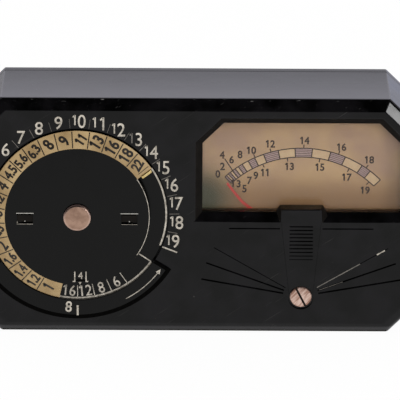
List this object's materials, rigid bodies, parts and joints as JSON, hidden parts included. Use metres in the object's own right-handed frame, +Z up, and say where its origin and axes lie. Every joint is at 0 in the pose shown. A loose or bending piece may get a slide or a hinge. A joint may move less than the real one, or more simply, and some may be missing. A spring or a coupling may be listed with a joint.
{
  "type": "handheld light meter",
  "caption": "Black moulded light meter with cut-off corners: two-disc calculator dial, windowed needle scale, slotted zero screw, and a light cell in the back.",
  "frame": {"origin": "on the surface that it stands on, under the middle of its box", "axes": "+X to the right along the case, seen from the front; +Y to the back, away from the dial and window; +Z up"},
  "size_m": [0.125, 0.028, 0.064],
  "materials": {
    "bakelite": "moulded black Bakelite, polished, lightly worn",
    "baffle_black": "black moulded honeycomb",
    "dial_enamel": "black enamel with cream and white figures",
    "copper": "copper-coloured metal, worn dull",
    "glass": "clear plate glass",
    "scale_paint": "tan paint, aged",
    "needle_red": "red lacquer",
    "steel": "bright steel",
    "brass": "turned brass",
    "plate_metal": "sheet, brushed",
    "magnet_steel": "red oxide paint on magnet steel",
    "soft_iron": "machined soft iron",
    "former_metal": "thin folded sheet",
    "copper_wire": "enamelled copper wire",
    "spring_bronze": "rolled bronze strip",
    "fibre": "vulcanised fibre",
    "phenolic": "brown phenolic sheet",
    "selenium": "grey selenium coat on iron",
    "red_cotton": "red cotton braid",
    "black_cotton": "black cotton braid"
  },
  "bodies": {
    "case": {"front_case": "bakelite", "back_cover": "bakelite", "cell_bezel": "bakelite", "cell_baffle": "baffle_black", "dial_stud": "copper", "window_glass": "glass", "cell_glass": "glass", "scale_plate": "scale_paint", "case_screws": "steel", "movement_screws": "steel", "pole_screws": "steel", "bridge_screws": "steel", "cell_screws": "steel", "pointer_stops": "steel", "dial_lockwasher": "steel", "glass_retainer": "steel", "scale_pillars": "brass", "scale_screws": "brass", "dial_nut": "brass", "zero_bush": "brass", "core_support": "brass", "front_bridge": "brass", "rear_bridge": "brass", "front_jewel": "brass", "rear_jewel": "brass", "cell_ring": "brass", "cell_spring": "brass", "solder_lugs": "brass", "movement_plate": "plate_metal", "magnet": "magnet_steel", "pole_pieces": "soft_iron", "iron_core": "soft_iron", "dial_washer": "fibre", "window_gasket": "fibre", "cell_cup": "phenolic", "terminal_block": "phenolic", "selenium_cell": "selenium", "lead_positive": "red_cotton", "lead_negative": "black_cotton"},
    "speed_disc": {"speed_disc": "dial_enamel", "dial_spring": "steel"},
    "aperture_disc": {"aperture_disc": "dial_enamel"},
    "zero_screw": {"zero_screw": "copper", "zero_clip": "steel"},
    "zero_arm": {"zero_arm": "brass"},
    "needle": {"needle": "needle_red", "balance_weights": "brass", "coil_former": "former_metal", "coil_winding": "copper_wire", "front_pivot": "steel", "rear_pivot": "steel", "front_hairspring": "spring_bronze", "rear_hairspring": "spring_bronze"}
  },
  "joints": [
    {"name": "speed_disc_turn", "type": "hinge", "parent": "case", "child": "speed_disc", "pos_m": [-0.0302, -0.01142, 0.0325], "axis": [0, -1, 0], "continuous": true},
    {"name": "aperture_disc_turn", "type": "hinge", "parent": "speed_disc", "child": "aperture_disc", "pos_m": [-0.0302, -0.01142, 0.0325], "axis": [0, -1, 0], "continuous": true},
    {"name": "zero_screw_turn", "type": "hinge", "parent": "case", "child": "zero_screw", "pos_m": [0.02735, -0.01142, 0.0105], "axis": [0, 1, 0], "range_deg": [-45, 45]},
    {"name": "zero_arm_swing", "type": "hinge", "parent": "case", "child": "zero_arm", "pos_m": [0.02735, -0.01142, 0.0202], "axis": [0, 1, 0], "range_deg": [-6, 6]},
    {"name": "needle_swing", "type": "hinge", "parent": "zero_arm", "child": "needle", "pos_m": [0.02735, -0.01142, 0.0202], "axis": [0, 1, 0], "range_deg": [0, 93], "stiffness_Nm_per_rad": 0.00005, "deforming": ["front_hairspring", "rear_hairspring"]}
  ],
  "couplings": [
    {"joint": "zero_arm_swing", "follows": "zero_screw_turn", "ratio": -0.13}
  ]
}
